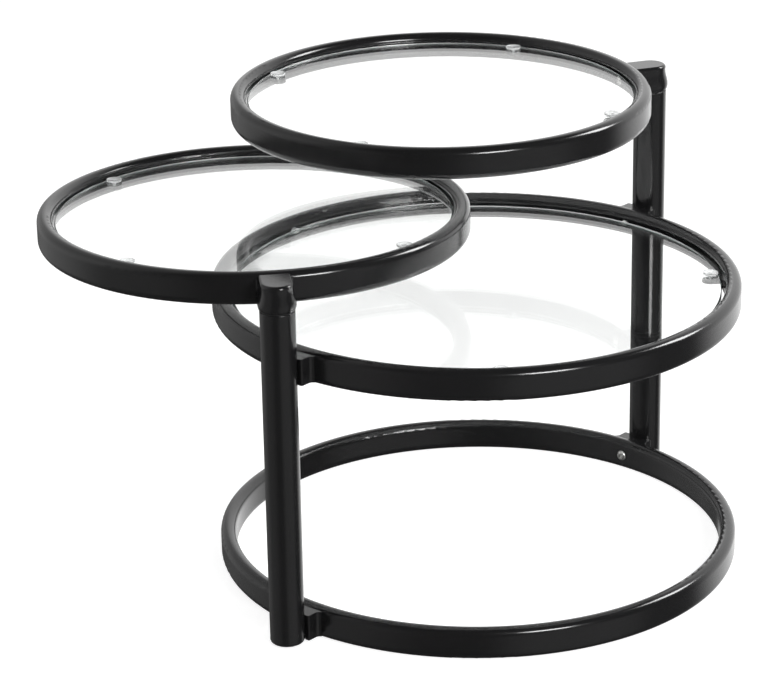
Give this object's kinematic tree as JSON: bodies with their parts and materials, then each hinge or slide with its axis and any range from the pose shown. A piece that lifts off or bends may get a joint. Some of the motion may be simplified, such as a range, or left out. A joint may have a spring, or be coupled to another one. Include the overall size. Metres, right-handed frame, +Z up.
{
  "type": "swivel coffee table",
  "caption": "Low round table: glass shelf ring and floor ring between two posts, with glass trays in metal rings that swing on the post heads.",
  "frame": {"origin": "on the axis of the base ring, at the height of the floor that it stands on", "axes": "+Z up along the axis of the base ring; +X from the short post's side to the tall post; +Y level, square to the plane of the posts, towards the side that both trays stand over at rest"},
  "size_m": [0.6219, 0.6203, 0.4265],
  "materials": {
    "black_powder_coat": "gloss black powder coat on steel tube",
    "black_casting": "gloss black coating on a zinc casting",
    "glass": "clear toughened float glass with polished rims",
    "clear_soft_plastic": "clear soft vinyl",
    "zinc_steel": "bright zinc plate",
    "washer_steel": "blackened steel",
    "black_plastic": "moulded black nylon"
  },
  "bodies": {
    "frame": {"base_ring": "black_powder_coat", "middle_ring": "black_powder_coat", "short_post": "black_powder_coat", "tall_post": "black_powder_coat", "base_short_saddle": "black_powder_coat", "base_tall_saddle": "black_powder_coat", "middle_short_saddle": "black_powder_coat", "middle_tall_saddle": "black_powder_coat", "frame_bolts": "zinc_steel", "post_rivet_nuts": "zinc_steel", "short_post_plug": "black_plastic", "tall_post_plug": "black_plastic", "short_pivot_bush": "black_plastic", "tall_pivot_bush": "black_plastic", "short_thrust_washer": "washer_steel", "tall_thrust_washer": "washer_steel", "middle_glass": "glass", "middle_glass_tabs": "black_powder_coat", "middle_suction_pads": "clear_soft_plastic", "middle_rim_clips": "clear_soft_plastic"},
    "lower_tray": {"lower_tray_ring": "black_powder_coat", "lower_tray_glass": "glass", "lower_glass_tabs": "black_powder_coat", "lower_suction_pads": "clear_soft_plastic", "lower_swivel_cap": "black_casting", "lower_cap_bolt": "zinc_steel", "lower_pivot_pin": "zinc_steel", "lower_pivot_clip": "zinc_steel"},
    "upper_tray": {"upper_tray_ring": "black_powder_coat", "upper_tray_glass": "glass", "upper_glass_tabs": "black_powder_coat", "upper_suction_pads": "clear_soft_plastic", "upper_swivel_cap": "black_casting", "upper_cap_bolt": "zinc_steel", "upper_pivot_pin": "zinc_steel", "upper_pivot_clip": "zinc_steel"}
  },
  "joints": [
    {"name": "lower_tray_swivel", "type": "hinge", "parent": "frame", "child": "lower_tray", "pos_m": [-0.274, 0, 0.323], "axis": [0, 0, 1], "continuous": true},
    {"name": "upper_tray_swivel", "type": "hinge", "parent": "frame", "child": "upper_tray", "pos_m": [0.274, 0, 0.3965], "axis": [0, 0, 1], "continuous": true}
  ]
}
